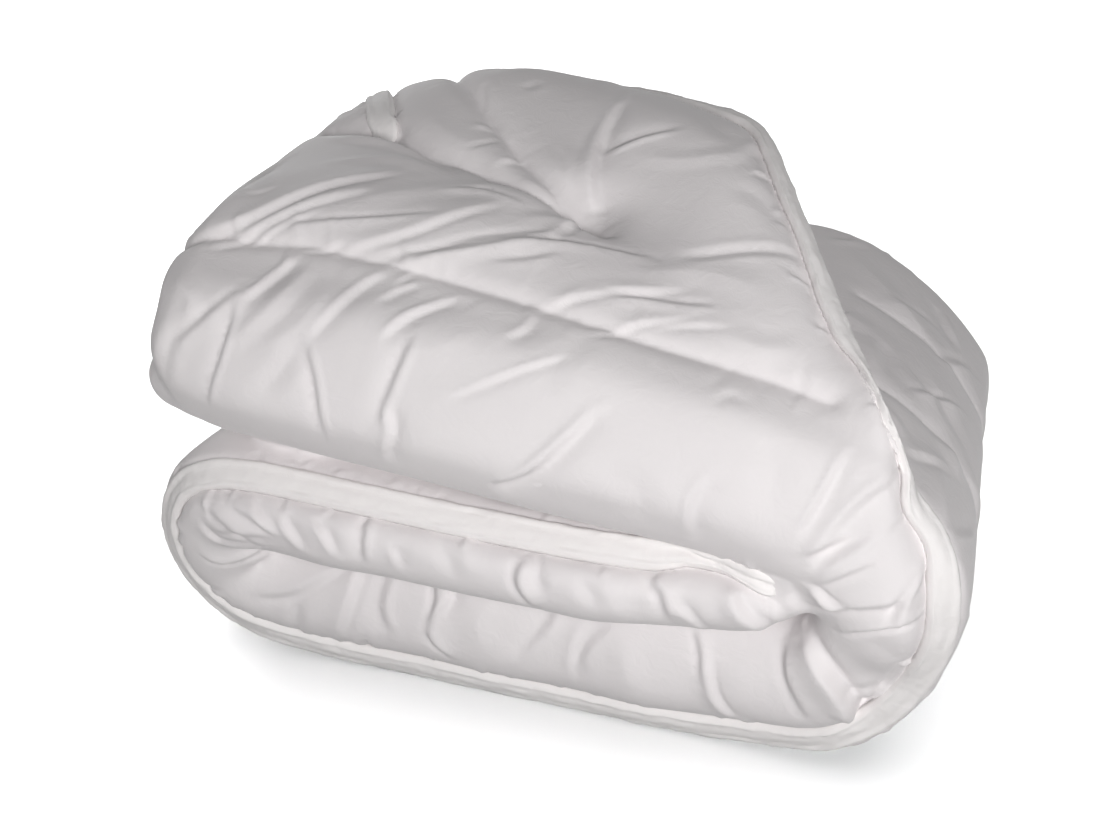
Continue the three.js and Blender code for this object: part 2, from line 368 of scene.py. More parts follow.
# Broad swellings and dents of the filling, in mm: place, radius and rise. The place is x and z from
# the front, x and y from above, and y and z from the left.
FRONT_SWELLS = (
    (314, 100, 30, -14),
    (304, 62, 22, -6),
    (262, 100, 22, 6),
    (-235, 262, 26, -8),
    (-225, 300, 24, 6),
    (-150, 290, 40, 4),
    (30, 280, 60, 3),
    (190, 250, 50, 3),
    (-120, 70, 40, 4),
    (10, 62, 45, 4),
    (130, 60, 40, 5),
    (215, 75, 30, 5),
    (-100, 150, 30, 3),
    (110, 152, 30, 4),
    (215, 158, 24, 4),
)
TOP_SWELLS = (
    (-140, 95, 50, 5),
    (-30, 85, 45, 4),
    (90, 70, 40, 3),
    (110, 225, 60, 4),
    (-60, 300, 50, 4),
    (-235, 130, 40, -6),
    (62, 142, 22, -9),
    (30, 170, 26, 4),
    (5, 130, 24, 4),
)
LEFT_SWELLS = (
    (26, 298, 32, -17),
    (0, 256, 22, 8),
)

# Stitched seams seen from above, x and y in mm: the first across the front of the top, the
# second down the turned-back flap to the low point, and the fold line where the flap rises.
# Most of these points were read by eye in the photograph and turned to mm by a separate program.
FRONT_SEAM = ((-262, 60), (-240, 45), (-177, 35), (-118, 35), (-44, 31), (30, 28), (100, 24),
              (182, 27), (232, 27), (266, 23))
FLAP_SEAM = ((-128, 350), (-120, 300), (-94, 260), (-42, 202), (8, 158), (52, 133), (72, 119))
FOLD_LINE = ((-200, 222), (-186, 217), (-142, 205), (-90, 173), (-42, 156), (-5, 144), (52, 133))

# Creases of the cover: start, bend and end in mm, width, rise (less than 0 sinks) and lean
# (the side of the crest that falls off sharply, 0 for an even crease). Widths, rises and leans were
# set one by one. The places of all but the side creases were read by eye in the photograph, and
# most were turned to mm by a separate program that met the skin along the camera's rays.
TOP_CREASES = (
    (-232, 47, -182, 52, -94, 127, 8, 4.5, 1),
    (-203, 31, -170, 47, -101, 92, 7, 3.5, 1),
    (-180, 34, -160, 43, -128, 63, 4, 2.5, 1),
    (-150, 45, -100, 57, -45, 73, 5, 2.5, -1),
    (-101, 37, -50, 62, -5, 106, 7, 3, 1),
    (-132, 35, -117, 38, -101, 43, 5, 2, 1),
    (-210, 87, -189, 79, -175, 89, 4, 2, 0),
    (-69, 33, -20, 46, 31, 73, 8, 4.5, -1),
    (-37, 41, 10, 69, 42, 89, 7, 3.5, -1),
    (40, 87, 48, 116, 57, 133, 8, 3.5, 1),
    (-52, 105, -24, 116, 9, 111, 5, 2.5, -1),
    (11, 65, 51, 81, 114, 92, 7, 4, -1),
    (11, 47, 34, 56, 54, 68, 6, 2, -1),
    (55, 28, 93, 48, 147, 74, 6, 3, 1),
    (90, 43, 128, 53, 174, 61, 6, 3, -1),
    (95, 16, 120, 33, 158, 53, 5, 2.5, 1),
    (136, 37, 159, 47, 184, 52, 5, 2, 1),
    (-104, 78, -60, 105, -1, 138, 12, 2, 0),
    (-154, 131, -112, 148, -67, 141, 10, 2, 0),
    (15, 94, 40, 111, 73, 106, 8, 2, 0),
    (113, 75, 153, 89, 199, 80, 12, 2, 0),
    (181, 46, 210, 42, 237, 48, 10, 2, 0),
)
FLAP_CREASES = (
    (60, 146, 43, 199, 43, 264, 8, -5, -1),
    (50, 150, 39, 170, 33, 214, 7, 3, 0),
    (45, 197, 68, 213, 94, 222, 7, -4, 1),
    (138, 100, 176, 110, 219, 121, 6, -3, 0),
    (75, 193, 123, 188, 165, 209, 9, 1.5, 0),
    (-78, 264, -77, 258, -68, 235, 5, -2, 0),
    (12, 188, 20, 173, 24, 164, 5, -1.5, 0),
    (-8, 155, 20, 146, 53, 135, 9, 3, 0),
    (-36, 276, -37, 267, -43, 258, 7, -2, 0),
    (34, 292, 34, 273, 33, 259, 6, -1.5, 0),
    (100, 266, 122, 233, 141, 218, 12, -2, 0),
    (157, 163, 177, 159, 196, 140, 10, -2, 0),
    (-120, 227, -92, 201, -57, 176, 16, 2, 0),
    (-177, 192, -136, 182, -84, 168, 8, 3.5, 0),
)
BULGE_CREASES = (
    (-130, 362, -141, 352, -154, 340, 6, -4, 1),
    (-118, 360, -128, 346, -162, 311, 9, 3, 0),
    (-159, 346, -183, 324, -202, 305, 8, 3.5, 1),
    (-58, 360, -76, 350, -95, 325, 7, -3.5, 1),
    (-32, 357, -43, 354, -54, 349, 5, -2.5, 1),
    (0, 352, -28, 344, -41, 331, 6, -4, 1),
    (-163, 339, -166, 311, -179, 266, 6, -4, -1),
    (-101, 321, -90, 297, -82, 262, 6, -4.5, -1),
    (-24, 336, -32, 311, -41, 279, 7, -4.5, -1),
    (-29, 292, -25, 275, -33, 249, 6, -4.5, 1),
    (13, 301, 53, 320, 87, 332, 4, -3, -1),
    (58, 347, 55, 342, 45, 338, 6, -3, 1),
    (48, 240, 78, 258, 119, 302, 8, -7, -1),
    (202, 270, 192, 253, 190, 222, 8, -3, 1),
    (285, 290, 276, 266, 263, 238, 6, -4.5, 1),
    (321, 275, 301, 260, 275, 223, 9, -5, 1),
    (-104, 321, -113, 306, -129, 286, 10, -2.5, 0),
    (-220, 345, -198, 335, -207, 314, 9, 3, 0),
    (-198, 329, -210, 307, -215, 276, 9, -3, 0),
    (-95, 352, -107, 333, -129, 318, 9, 2, 0),
    (17, 341, -1, 332, -28, 325, 14, 1.5, 0),
    (124, 268, 152, 257, 151, 230, 14, -2, 0),
    (211, 312, 200, 315, 193, 312, 6, -1.5, 0),
    (227, 295, 239, 278, 240, 245, 14, -2, 0),
    (97, 340, 84, 330, 79, 312, 12, -1.5, 0),
)
UPPER_LOBE_CREASES = (
    (-206, 170, -179, 159, -156, 144, 7, 3, 1),
    (-176, 175, -156, 169, -135, 160, 7, 4, 1),
    (-158, 181, -148, 172, -134, 163, 6, -4, 1),
    (-209, 150, -195, 133, -158, 137, 6, 3.5, -1),
    (-195, 149, -169, 154, -140, 157, 7, 3, 1),
    (-214, 115, -197, 108, -153, 128, 5, 3, 1),
    (-131, 176, -123, 166, -111, 153, 7, -4.5, 1),
    (-104, 177, -94, 169, -85, 154, 6, -5, 1),
    (-66, 182, -67, 174, -67, 150, 7, -5, -1),
    (-40, 168, -35, 162, -33, 150, 7, -3, 1),
    (-9, 175, 4, 166, 8, 155, 9, -2, 0),
    (63, 174, 61, 159, 71, 140, 8, 6, 1),
    (73, 173, 73, 164, 79, 156, 8, -3.5, 0),
    (102, 172, 113, 163, 120, 154, 8, -2.5, 0),
    (157, 179, 168, 170, 173, 152, 8, 5, 1),
    (172, 163, 182, 156, 194, 142, 7, 3, -1),
    (214, 183, 219, 169, 238, 148, 8, 6, -1),
    (17, 183, 16, 174, 28, 158, 12, 1.5, 0),
    (132, 173, 129, 157, 137, 142, 12, 1.5, 0),
    (191, 174, 196, 160, 193, 141, 10, 1.5, 0),
)
LOWER_LOBE_CREASES = (
    (-182, 72, -150, 82, -98, 118, 8, 4, 1),
    (-95, 118, -105, 80, -117, 44, 8, 4.5, -1),
    (-146, 68, -151, 54, -156, 38, 8, -3, 0),
    (-72, 114, -80, 80, -73, 55, 9, -4, -1),
    (-35, 118, -28, 95, -36, 60, 7, 5.5, 1),
    (-20, 115, -18, 95, -36, 68, 5, -5, 1),
    (-36, 66, -30, 55, -19, 45, 6, 4, 1),
    (64, 108, 56, 90, 35, 60, 9, -3.5, -1),
    (100, 105, 88, 78, 85, 50, 8, -2.5, 1),
    (116, 102, 98, 80, 90, 62, 8, 2.5, 1),
    (178, 110, 184, 95, 187, 74, 6, 4, 1),
    (187, 92, 193, 62, 207, 40, 6, 4.5, -1),
    (248, 118, 252, 96, 269, 62, 9, 4, 1),
    (128, 95, 124, 80, 130, 52, 14, 2, 0),
    (20, 108, 5, 84, 10, 60, 14, 2, 0),
)
FAN_CREASES = (
    (265, 224, 277, 231, 290, 240, 6, 5, 1),
    (270, 212, 288, 228, 308, 244, 6, -5, 1),
    (274, 200, 290, 212, 310, 225, 6, 4.5, 1),
    (268, 192, 280, 183, 291, 180, 6, 6, -1),
    (270, 176, 310, 190, 332, 197, 8, 5, 1),
    (330, 198, 339, 208, 346, 219, 7, 4, 1),
    (328, 176, 333, 191, 343, 210, 6, 5, -1),
    (287, 156, 315, 171, 342, 181, 6, 6.5, 1),
    (290, 84, 303, 91, 319, 97, 8, -2.5, 0),
    (303, 52, 321, 90, 336, 128, 7, 5, -1),
    (260, 128, 284, 92, 304, 42, 12, 11, -1),
    (309, 155, 324, 144, 334, 126, 14, -2, 0),
    (240, 186, 256, 183, 266, 166, 10, -4, 1),
)
SHELF_CREASES = (
    (-150, 27, -138, 19, -129, 6, 6, -3, 1),
    (-131, 31, -114, 22, -100, 10, 6, -3.5, 1),
    (-99, 32, -92, 25, -85, 10, 7, -4, -1),
    (-75, 40, -65, 34, -48, 18, 6, -3.5, 1),
    (-46, 29, -32, 21, -17, 14, 7, -2.5, 0),
    (12, 34, 14, 26, 20, 10, 6, -3, -1),
    (115, 15, 116, 7, 115, -2, 6, 2.5, 0),
    (74, 24, 80, 13, 87, 4, 8, 2, 0),
    (-203, 30, -181, 22, -162, 5, 8, -2, 0),
)
SIDE_CREASES = (
    (200, 345, 232, 293, 150, 235, 16, 3, 0),
    (225, 285, 200, 262, 170, 200, 16, -2.5, 0),
    (350, 288, 311, 270, 269, 230, 18, 2.5, 0),
    (120, 250, 150, 190, 140, 110, 16, 2.5, 0),
    (60, 268, 80, 256, 104, 238, 9, 2.5, 1),
    (28, 230, 60, 215, 84, 204, 8, -2.5, 1),
    (30, 160, 60, 150, 90, 152, 8, 2.5, -1),
    (250, 200, 290, 150, 280, 90, 18, -2.5, 0),
)


def through(controls, steps):
    """Even points on a smooth line through control points."""
    return spline(np.array(controls, float), np.linspace(0, 1, steps))


def cast(tree, flat, across, ray):
    """Points and normals where rays from flat places meet the skin."""
    start_axis = 3 - sum(across)
    found, facing = [], []
    for place in flat:
        origin = [0.0, 0.0, 0.0]
        origin[across[0]], origin[across[1]] = place
        origin[start_axis] = ray[0]
        direction = [0.0, 0.0, 0.0]
        direction[start_axis] = ray[1]
        spot, normal, _, _ = tree.ray_cast(origin, direction)
        if spot is not None:
            found.append(spot)
            facing.append(normal)
    return np.array(found), np.array(facing)


# Views: the two axes of a flat place, then the start in mm and the way of a ray along the third
FROM_ABOVE = ((0, 1), (600, -1))
FROM_FRONT = ((0, 2), (-400, 1))
FROM_RIGHT = ((1, 2), (600, -1))
FROM_LEFT = ((1, 2), (-600, 1))
FROM_UNDER_BULGE = ((0, 1), (214, -1))


# Points along a crease, the fewest that count, and how far its width and rise are scaled down
CREASE_POINTS = 14
FEWEST_POINTS = 4
WIDTH_SCALE = 0.7
RISE_SCALE = 0.8


def crease_lines(tree, rows, view):
    """Creases of a table laid on the skin: points, normals, width, rise, lean and tapered ends."""
    lines = []
    for *controls, width, rise, lean in rows:
        flat = through(np.reshape(controls, (-1, 2)), CREASE_POINTS)
        spots, facing = cast(tree, flat, *view)
        if len(spots) >= FEWEST_POINTS:
            lines.append((spots, facing, width * WIDTH_SCALE, rise * RISE_SCALE, lean, 1))
    return lines


def crease_shape(side, lean):
    """Height across a crease, side in widths from its middle: a sharp crest, with a dip beside it."""
    if lean == 0:
        crest = 0.5 * np.exp(-side ** 2) + 0.5 * np.exp(-np.abs(side) * 1.6)
        return crest - 0.3 * np.exp(-((np.abs(side) - 1.9) / 0.8) ** 2)
    side = side * lean
    fall = np.abs(side) / np.where(side < 0, 1.7, 0.7)
    crest = 0.5 * np.exp(-fall ** 2) + 0.5 * np.exp(-fall * 1.6)
    return crest - 0.6 * np.exp(-((side - 1.3) / 0.6) ** 2)


def seam_shape(side, lean):
    """Height across a stitched seam: a narrow groove in a broad dip."""
    return 0.55 * np.exp(-np.abs(side) * 2.2) + 0.45 * np.exp(-(side / 1.6) ** 2)


def flat_shape(side, lean):
    """1 within a width of the line, fading to 0."""
    return np.clip(1.6 - np.abs(side), 0, 0.6) / 0.6


# Cells in which points near a long line are looked up: side in mm, and cells each way
CELL = 40.0
CELLS = 1000


def cell_numbers(points, shift=(0, 0, 0)):
    """One number for the cell that each point lies in."""
    cells = np.floor(points / CELL).astype(np.int64) + CELLS // 2 + np.array(shift)
    return (cells[:, 0] * CELLS + cells[:, 1]) * CELLS + cells[:, 2]


# A line reaches this many widths; one with more points than LONG_LINE is thinned to about
# LINE_POINTS; and points are worked through in batches of BATCH to save memory
LINE_REACH = 3.2
LONG_LINE = 60
LINE_POINTS = 160
BATCH = 3000


def press(points, facing, lines, shape):
    """Rise of each point from lines laid on the skin."""
    rise_of = np.zeros(len(points))
    cells = cell_numbers(points)
    around = [(i, j, k) for i in (-1, 0, 1) for j in (-1, 0, 1) for k in (-1, 0, 1)]
    for spots, normal, width, rise, lean, tapered in lines:
        reach = LINE_REACH * width
        if len(spots) > LONG_LINE:
            keep = np.arange(0, len(spots), max(1, len(spots) // LINE_POINTS))
            spots, normal = spots[keep], normal[keep]
            close = np.isin(cells, np.unique([cell_numbers(spots, shift) for shift in around]))
        else:
            close = ((points > spots.min(0) - reach) & (points < spots.max(0) + reach)).all(1)
        start, run = spots[:-1], np.diff(spots, axis=0)
        length = np.maximum((run ** 2).sum(1), 1e-6)
        for near in np.array_split(np.flatnonzero(close), close.sum() // BATCH + 1):
            if not len(near):
                continue
            offset = points[near][:, None] - start
            along = np.clip((offset * run).sum(-1) / length, 0, 1)
            away = offset - along[..., None] * run
            k = (away ** 2).sum(-1).argmin(1)
            pick = np.arange(len(near))
            away, along = away[pick, k], along[pick, k]
            distance = np.linalg.norm(away, axis=1)
            out = normal[k]
            across = np.cross(run[k], out)
            side = np.where((across * away).sum(1) < 0, -distance, distance) / width
            share = (k + along) / len(run)
            ends = np.sin(np.pi * np.clip(share, 0.02, 0.98)) ** 0.6 if tapered else 1.0
            same_side = np.clip((facing[near] * out).sum(1) * 1.6 - 0.2, 0, 1)
            rise_of[near] += rise * shape(side, lean) * ends * same_side
    return rise_of


def swell(points, facing, tree, rows, view):
    """Rise of each point from swellings that face the same way as it does."""
    rise_of = np.zeros(len(points))
    for across, up, radius, rise in rows:
        spot, normal = cast(tree, [(across, up)], *view)
        if len(spot):
            near = np.exp(-(((points - spot[0]) / radius) ** 2).sum(1))
            rise_of += rise * near * np.clip((facing * normal[0]).sum(1) * 1.6, 0, 1)
    return rise_of


tree = skin_tree(skin, faces)
facing = normals(duvet)
lift = swell(skin, facing, tree, FRONT_SWELLS, FROM_FRONT)
lift += swell(skin, facing, tree, TOP_SWELLS, FROM_ABOVE)
lift += swell(skin, facing, tree, LEFT_SWELLS, FROM_LEFT)
skin = skin + facing * lift[:, None]
move_to(duvet, skin)

tree = skin_tree(skin, faces)
facing = normals(duvet)


SEAM_POINTS = 90
SEAM_ROUNDS = 2


def seam_line(flat, width, rise):
    """A seam laid on the skin from above, with its width and its rise in mm."""
    spots, normal = cast(tree, through(flat, SEAM_POINTS), *FROM_ABOVE)
    return spots, normal, width, rise, 0, 0


seams = [
    seam_line(FRONT_SEAM, width=5.5, rise=-7),
    seam_line(FLAP_SEAM, width=7, rise=-9),
    seam_line(FOLD_LINE, width=8, rise=-13),
]
lift = press(skin, facing, seams, seam_shape)
skin = relax(skin + facing * lift[:, None], links, SEAM_ROUNDS)
move_to(duvet, skin)

tree = skin_tree(skin, faces)
facing = normals(duvet)


def wound_edge(first, last, steps, depth_of, level):
    """The bound edge of the windings between two shares of their length."""
    frames = winding_frames(np.linspace(first, last, steps))
    return winding_points(frames, depth_of(frames[3]), level)


def flap_edge(first, last, steps):
    """The bound edge of the turned-back flap between two shares of its sections."""
    rows = spline(TOP_SECTIONS, np.linspace(first, last, steps))
    return rows[:, [TOP_COLUMNS.index(name) for name in ("x", "edge_y", "edge_z")]]


def evened(points, step, rounds=0):
    """A polyline with even steps, rounded off a little."""
    for _ in range(rounds):
        points[1:-1] += 0.25 * (points[:-2] - 2 * points[1:-1] + points[2:])
    run = np.r_[0, np.cumsum(np.linalg.norm(np.diff(points, axis=0), axis=1))]
    marks = np.linspace(0, run[-1], int(run[-1] / step) + 1)
    return np.stack([np.interp(marks, run, points[:, k]) for k in range(3)], -1)


def averaged(values, window):
    """Moving average along the first axis, with the ends held."""
    first = np.repeat(values[:1], window, 0)
    last = np.repeat(values[-1:], window, 0)
    padded = np.concatenate([first, values, last])
    total = np.cumsum(np.concatenate([0 * padded[:1], padded]), 0)
    width = 2 * window + 1
    return (total[width:] - total[:-width]) / width


def on_skin(tree, points):
    """Nearest points of the skin and its directions there."""
    found = [tree.find_nearest(p) for p in points.tolist()]
    return np.array([f[0] for f in found]), np.array([f[1] for f in found])


def unit(vectors):
    """Vectors of length 1."""
    return vectors / np.maximum(np.linalg.norm(vectors, axis=-1, keepdims=True), 1e-9)


def edge_frame(tree, path, outward_hint):
    """Points on the skin along an edge, with the skin's direction and the way to the outer cover."""
    spots, normal = on_skin(tree, path)
    spots = averaged(spots, 3)
    normal = unit(averaged(normal, 6))
    run = unit(averaged(np.gradient(spots, axis=0), 3))
    side = unit(np.cross(run, normal))
    if (side[0] * outward_hint).sum() < 0:
        side = -side
    return spots, normal, side


# Level of the bound edge between the covers, its reach past the padding in mm, and the shares of
# the windings and of the top's sections where its lengths start and end
FRONT_EDGE_LEVEL = 0.88
BACK_EDGE_LEVEL = 0.6
FRONT_EDGE_REACH = 1
BACK_EDGE_REACH = 8
EDGE_START = 0.02
SHOULDER_SHARE = 0.702
BACK_END = 0.97
FLAP_SHARES = (0.99, 0.2)

# Steps in mm between points: along each length, round the joins and in the finished path
LENGTH_STEP = 20
JOIN_STEP = 8
PATH_STEP = 2.0

# The bound edge across the left end of the flap, up to where it goes under the fold
FLAP_END = ((-206, 338, 370), (-196, 312, 392), (-186, 284, 396), (-172, 250, 398), (-146, 198, 400))

roll_front = wound_edge(
    EDGE_START, SHOULDER_SHARE, 300, lambda front: front - FRONT_EDGE_REACH, FRONT_EDGE_LEVEL
)
front_path = evened(np.vstack([
    evened(roll_front, LENGTH_STEP),
    evened(flap_edge(*FLAP_SHARES, 120), LENGTH_STEP),
    FLAP_END,
]), JOIN_STEP, 6)
back_path = wound_edge(
    EDGE_START, BACK_END, 500, lambda front: front * 0 + ROLL_DEPTH + BACK_EDGE_REACH, BACK_EDGE_LEVEL
)
edges = [
    edge_frame(tree, evened(front_path, PATH_STEP, 4), (0, 0, 1)),
    edge_frame(tree, evened(back_path, PATH_STEP, 4), (0, 0, 1)),
]


def beside(tree, edge, offset):
    """A line beside an edge at an offset towards the outer cover."""
    spots, normal, side = edge
    found, facing = on_skin(tree, spots + side * offset)
    return averaged(found, 4), unit(averaged(facing, 6))


GATHER_STEPS = 6


def gathers(tree, line, sideways, spacing, length, rise, seed):
    """Short folds that start at a seam, where the stitching draws the cover in."""
    draw = np.random.default_rng(seed)
    spots, normal = line
    folds = []
    place = draw.uniform(0, spacing)
    step = np.linalg.norm(spots[1] - spots[0])
    while place < step * (len(spots) - 1):
        i = int(place / step)
        turn = draw.uniform(-0.6, 0.6)
        run = unit(np.gradient(spots, axis=0)[i])
        way = sideways[i] * math.cos(turn) + run * math.sin(turn)
        reach = length * draw.uniform(0.4, 1.3)
        walk = [spots[i] - way * 2]
        for _ in range(GATHER_STEPS):
            spot, _, _, _ = tree.find_nearest((walk[-1] + way * reach / GATHER_STEPS).tolist())
            walk.append(np.array(spot))
        walk = np.array(walk)
        facing = on_skin(tree, walk)[1]
        lean = draw.choice((-1, 0, 1))
        folds.append((walk, facing, draw.uniform(2.6, 4.2), rise * draw.uniform(-1, 1), lean, 1))
        place += spacing * draw.uniform(0.35, 1.5)
    return folds


# Grooves where the bound edge is stitched down, across it in mm from its middle line towards the
# outer cover: place, width and rise on the inner cover's side and on the outer cover's side
INNER_GROOVE = (-19, 7, -7)
OUTER_GROOVE = (4, 4, -2)

# Gathers: the space between two, their length and rise in mm, with one seed for each side
INNER_GATHERS = dict(spacing=22, length=24, rise=3.0)
OUTER_GATHERS = dict(spacing=14, length=14, rise=2.2)
TOP_SEAM_GATHERS = dict(spacing=30, length=28, rise=1.6)
CHANNEL_GATHERS = dict(spacing=26, length=24, rise=2.0)

lines = []
folds = []
for number, edge in enumerate(edges):
    inner = beside(tree, edge, INNER_GROOVE[0])
    outer = beside(tree, edge, OUTER_GROOVE[0])
    lines += [(*inner, *INNER_GROOVE[1:], 0, 0), (*outer, *OUTER_GROOVE[1:], 0, 0)]
    folds += gathers(tree, inner, -edge[2], **INNER_GATHERS, seed=11 + number)
    folds += gathers(tree, outer, edge[2], **OUTER_GATHERS, seed=21 + number)
for number, (spots, normal, *_) in enumerate(seams[:2]):
    side = unit(np.cross(np.gradient(spots, axis=0), normal))
    folds += gathers(tree, (spots, normal), side, **TOP_SEAM_GATHERS, seed=31 + number)
    folds += gathers(tree, (spots, normal), -side, **TOP_SEAM_GATHERS, seed=41 + number)


# Channel seams of the outer cover, guessed, at depths behind the front in mm, from the left fold
# round under the roll to its right shoulder, given as shares of the windings
OUTER_SEAM_DEPTHS = (140, 285)
OUTER_SEAM_SHARES = (0.2, 0.76)
OUTER_SEAM_STEP = 4
OUTER_SEAM_WIDTH = 7
OUTER_SEAM_RISE = -4.5
for number, depth in enumerate(OUTER_SEAM_DEPTHS):
    path = winding_points(winding_frames(np.linspace(*OUTER_SEAM_SHARES, 300)), depth, 1.0)
    spots, normal = on_skin(tree, evened(path, OUTER_SEAM_STEP, 4))
    normal = unit(averaged(normal, 3))
    side = unit(np.cross(np.gradient(spots, axis=0), normal))
    lines.append((spots, normal, OUTER_SEAM_WIDTH, OUTER_SEAM_RISE, 0, 0))
    folds += gathers(tree, (spots, normal), side, **CHANNEL_GATHERS, seed=61 + number)
    folds += gathers(tree, (spots, normal), -side, **CHANNEL_GATHERS, seed=71 + number)


# Scattered creases: least distance between two and shortest and longest length in mm, and the steps
# along one
CREASE_DISTANCE = 62.0
CREASE_LENGTHS = (35, 85)
CREASE_STEPS = 10


def scattered_creases(tree, points, facing, count, seed):
    """Long soft creases at random places and ways along the skin."""
    draw = np.random.default_rng(seed)
    found = []
    for start in draw.choice(len(points), 6 * count, replace=False):
        spot, normal = points[start], facing[start]
        if len(found) == count:
            break
        if any(np.linalg.norm(spot - walk.mean(0)) < CREASE_DISTANCE for walk, *_ in found):
            continue
        way = unit(np.cross(normal, draw.normal(0, 1, 3)))
        step = draw.uniform(*CREASE_LENGTHS) / CREASE_STEPS
        turn = draw.uniform(-0.08, 0.08)
        walk, along = [spot], [normal]
        for _ in range(CREASE_STEPS):
            way = unit(way + turn * np.cross(along[-1], way))
            near, out, _, _ = tree.find_nearest((walk[-1] + way * step).tolist())
            walk.append(np.array(near))
            along.append(np.array(out))
            way = unit(way - along[-1] * (way * along[-1]).sum())
        found.append((np.array(walk), np.array(along), draw.uniform(5, 12),
                      draw.uniform(1.2, 3) * draw.choice((-1, 1)), draw.choice((-1, 0, 1)), 1))
    return found


# The covers behind the front, where they face left or back or lie far right: the photograph shows
# little of them, so their creases are drawn at random
SCATTER_FROM_Y = 60
SCATTER_FROM_X = 250
FACING_LEFT = -0.25
FACING_BACK = 0.15
loose = (skin[:, 1] > SCATTER_FROM_Y) & (
    (facing[:, 0] < FACING_LEFT) | (facing[:, 1] > FACING_BACK) | (skin[:, 0] > SCATTER_FROM_X)
)
folds += scattered_creases(tree, skin[loose], facing[loose], count=90, seed=81)

lift = press(skin, facing, lines, seam_shape)
front_creases = BULGE_CREASES + UPPER_LOBE_CREASES + LOWER_LOBE_CREASES + FAN_CREASES
creases = (
    crease_lines(tree, TOP_CREASES + FLAP_CREASES, FROM_ABOVE)
    + crease_lines(tree, front_creases, FROM_FRONT)
    + crease_lines(tree, SHELF_CREASES, FROM_UNDER_BULGE)
    + crease_lines(tree, SIDE_CREASES, FROM_RIGHT)
)

# Creases stop where the bound edge lies over them: middle and width of that band in mm
BAND_MIDDLE = -7
BAND_WIDTH = 8.2
LAST_WEIGHT = 0.3
under_strip = np.zeros(len(skin))
for edge in edges:
    middle = beside(tree, edge, BAND_MIDDLE)
    band = press(skin, facing, [(*middle, BAND_WIDTH, 1, 0, 0)], flat_shape)
    under_strip = np.maximum(under_strip, band)
lift += press(skin, facing, creases + folds, crease_shape) * (1 - under_strip)
skin = relax(skin + facing * lift[:, None], links, 1, LAST_WEIGHT)
skin[:, 2] = np.maximum(skin[:, 2], 0)
move_to(duvet, skin)

# The skin is thinned out to a little under 200,000 triangles
TRIANGLES = 196000
thin_out = duvet.modifiers.new("thin_out", "DECIMATE")
thin_out.ratio = TRIANGLES / (2 * len(faces))
graph = bpy.context.evaluated_depsgraph_get()
skin_mesh = bpy.data.meshes.new_from_object(duvet.evaluated_get(graph))
duvet.modifiers.clear()
duvet.data = skin_mesh
duvet.data.shade_smooth()


def srgb(code):
    """Linear colour of an sRGB hex code."""
    parts = [int(code[i:i + 2], 16) / 255 for i in (1, 3, 5)]
    return [c / 12.92 if c <= 0.04045 else ((c + 0.055) / 1.055) ** 2.4 for c in parts] + [1.0]


def add_node(tree, kind, links=(), **settings):
    """Adds a node; settings name its properties or inputs, links pair an input with an output."""
    node = tree.nodes.new(kind)
    for name, value in settings.items():
        if hasattr(node, name):
            setattr(node, name, value)
        else:
            node.inputs[name.replace("_", " ")].default_value = value
    for name, output in dict(links).items():
        tree.links.new(output, node.inputs[name])
    return node


WHITE_PERCALE = "#EFEBEB"
SHADED_PERCALE = "#E6E1E2"

# Real sizes in mm: from one faint shade to the next, from one small ripple to the next, and between
# the weave's lines, which is coarser than a percale's threads so that it can show at all
SHADE_SIZE = 111.1
RIPPLE_SIZE = 14.286
THREAD_SPACING = 0.748
WAVES_PER_UNIT = 20 / (2 * math.pi)


def cotton_percale(name, white, shaded):
    """Cotton percale, plain woven and calendered: nearly smooth to the eye, with a soft low sheen."""
    cloth = bpy.data.materials.new(name)
    cloth.use_nodes = True
    tree = cloth.node_tree
    shader = tree.nodes["Principled BSDF"]
    place = add_node(tree, "ShaderNodeTexCoord").outputs["Object"]
    cloud = add_node(tree, "ShaderNodeTexNoise", {"Vector": place}, Scale=1 / (SHADE_SIZE * MM),
                     Detail=3, Roughness=0.5)
    tint = add_node(tree, "ShaderNodeMix", {0: cloud.outputs["Fac"]}, data_type="RGBA")
    tint.inputs["A"].default_value = srgb(white)
    tint.inputs["B"].default_value = srgb(shaded)
    tree.links.new(tint.outputs["Result"], shader.inputs["Base Color"])
    ripple = add_node(tree, "ShaderNodeTexNoise", {"Vector": place}, Scale=1 / (RIPPLE_SIZE * MM),
                      Detail=4, Roughness=0.55, Distortion=1.2)
    rough = add_node(tree, "ShaderNodeMapRange", {"Value": ripple.outputs["Fac"]}, To_Min=0.62,
                     To_Max=0.8)
    tree.links.new(rough.outputs["Result"], shader.inputs["Roughness"])
    shader.inputs["Specular IOR Level"].default_value = 0.35
    shader.inputs["Sheen Weight"].default_value = 0.2
    shader.inputs["Sheen Roughness"].default_value = 0.45
    weave = add_node(tree, "ShaderNodeTexWave", {"Vector": place}, Distortion=0.3, bands_direction="X",
                     Scale=1 / (WAVES_PER_UNIT * THREAD_SPACING * MM))
    fine = add_node(tree, "ShaderNodeBump", {"Height": weave.outputs["Fac"]}, Strength=0.05,
                    Distance=0.3 * MM)
    heights = {"Height": ripple.outputs["Fac"], "Normal": fine.outputs["Normal"]}
    soft = add_node(tree, "ShaderNodeBump", heights, Strength=0.14, Distance=4 * MM)
    tree.links.new(soft.outputs["Normal"], shader.inputs["Normal"])
    return cloth


duvet.data.materials.append(cotton_percale("cotton percale woven", WHITE_PERCALE, SHADED_PERCALE))
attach(duvet, "root")
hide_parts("duvet")

# Bound edge
# A strip of the same percale, folded over the raw edges of both covers and stitched flat along
# both its sides. It shows along the front and back of the roll and up the turned-back flap.

